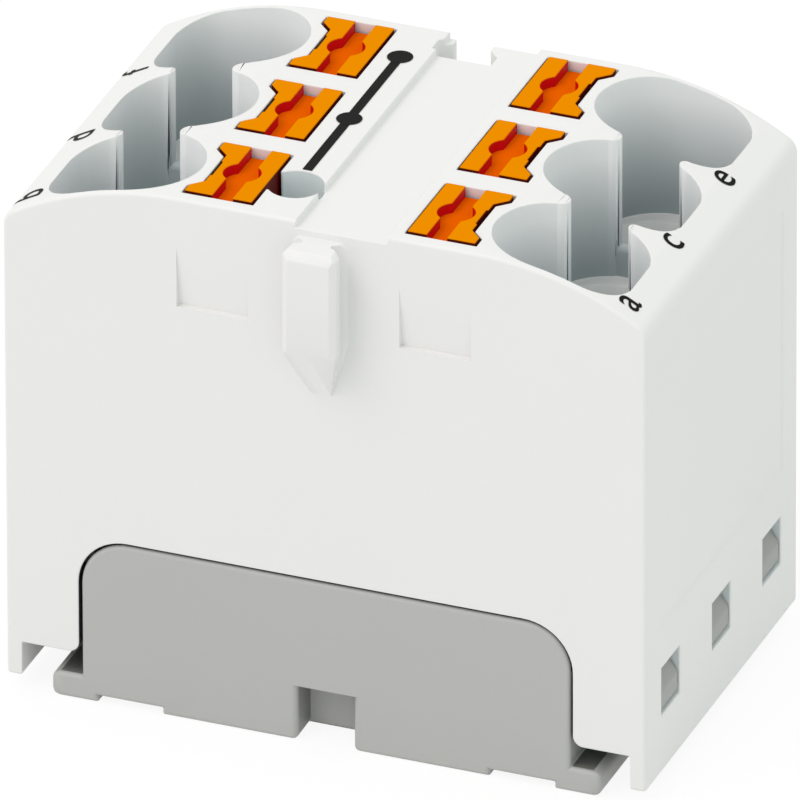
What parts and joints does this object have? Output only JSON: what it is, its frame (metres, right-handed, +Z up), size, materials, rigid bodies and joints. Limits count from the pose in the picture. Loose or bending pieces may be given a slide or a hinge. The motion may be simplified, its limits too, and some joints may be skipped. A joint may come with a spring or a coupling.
{
  "type": "power distribution block",
  "caption": "Push-in distribution block: two banks of wire wells with orange release buttons in a crowned white housing, on a grey snap-in mounting base.",
  "frame": {"origin": "centre of the flat underside of the mounting base", "axes": "+X from the left bank to the right bank, +Y from the keyed front to the slotted back, +Z up, against the way the wires go in"},
  "size_m": [0.0336, 0.0226, 0.0291],
  "materials": {
    "housing_white": "fine satin moulded polyamide",
    "base_grey": "fine satin moulded polyamide",
    "tinned_copper": "tin-plated copper strip, stamped and bent",
    "spring_steel": "rolled stainless spring steel",
    "button_orange": "satin moulded plastic"
  },
  "bodies": {
    "block": {"housing": "housing_white", "mounting_base": "base_grey", "current_bar": "tinned_copper", "clamp_spring_a": "spring_steel", "clamp_spring_b": "spring_steel", "clamp_spring_c": "spring_steel", "clamp_spring_d": "spring_steel", "clamp_spring_e": "spring_steel", "clamp_spring_f": "spring_steel"},
    "button_a": {"push_button_a": "button_orange"},
    "button_b": {"push_button_b": "button_orange"},
    "button_c": {"push_button_c": "button_orange"},
    "button_d": {"push_button_d": "button_orange"},
    "button_e": {"push_button_e": "button_orange"},
    "button_f": {"push_button_f": "button_orange"}
  },
  "joints": [
    {"name": "press_a", "type": "slide", "parent": "block", "child": "button_a", "axis": [0, 0, -1], "range_m": [0, 0.0012], "stiffness_N_per_m": 2000, "deforming": ["clamp_spring_a"]},
    {"name": "press_b", "type": "slide", "parent": "block", "child": "button_b", "axis": [0, 0, -1], "range_m": [0, 0.0012], "stiffness_N_per_m": 2000, "deforming": ["clamp_spring_b"]},
    {"name": "press_c", "type": "slide", "parent": "block", "child": "button_c", "axis": [0, 0, -1], "range_m": [0, 0.0012], "stiffness_N_per_m": 2000, "deforming": ["clamp_spring_c"]},
    {"name": "press_d", "type": "slide", "parent": "block", "child": "button_d", "axis": [0, 0, -1], "range_m": [0, 0.0012], "stiffness_N_per_m": 2000, "deforming": ["clamp_spring_d"]},
    {"name": "press_e", "type": "slide", "parent": "block", "child": "button_e", "axis": [0, 0, -1], "range_m": [0, 0.0012], "stiffness_N_per_m": 2000, "deforming": ["clamp_spring_e"]},
    {"name": "press_f", "type": "slide", "parent": "block", "child": "button_f", "axis": [0, 0, -1], "range_m": [0, 0.0012], "stiffness_N_per_m": 2000, "deforming": ["clamp_spring_f"]}
  ]
}
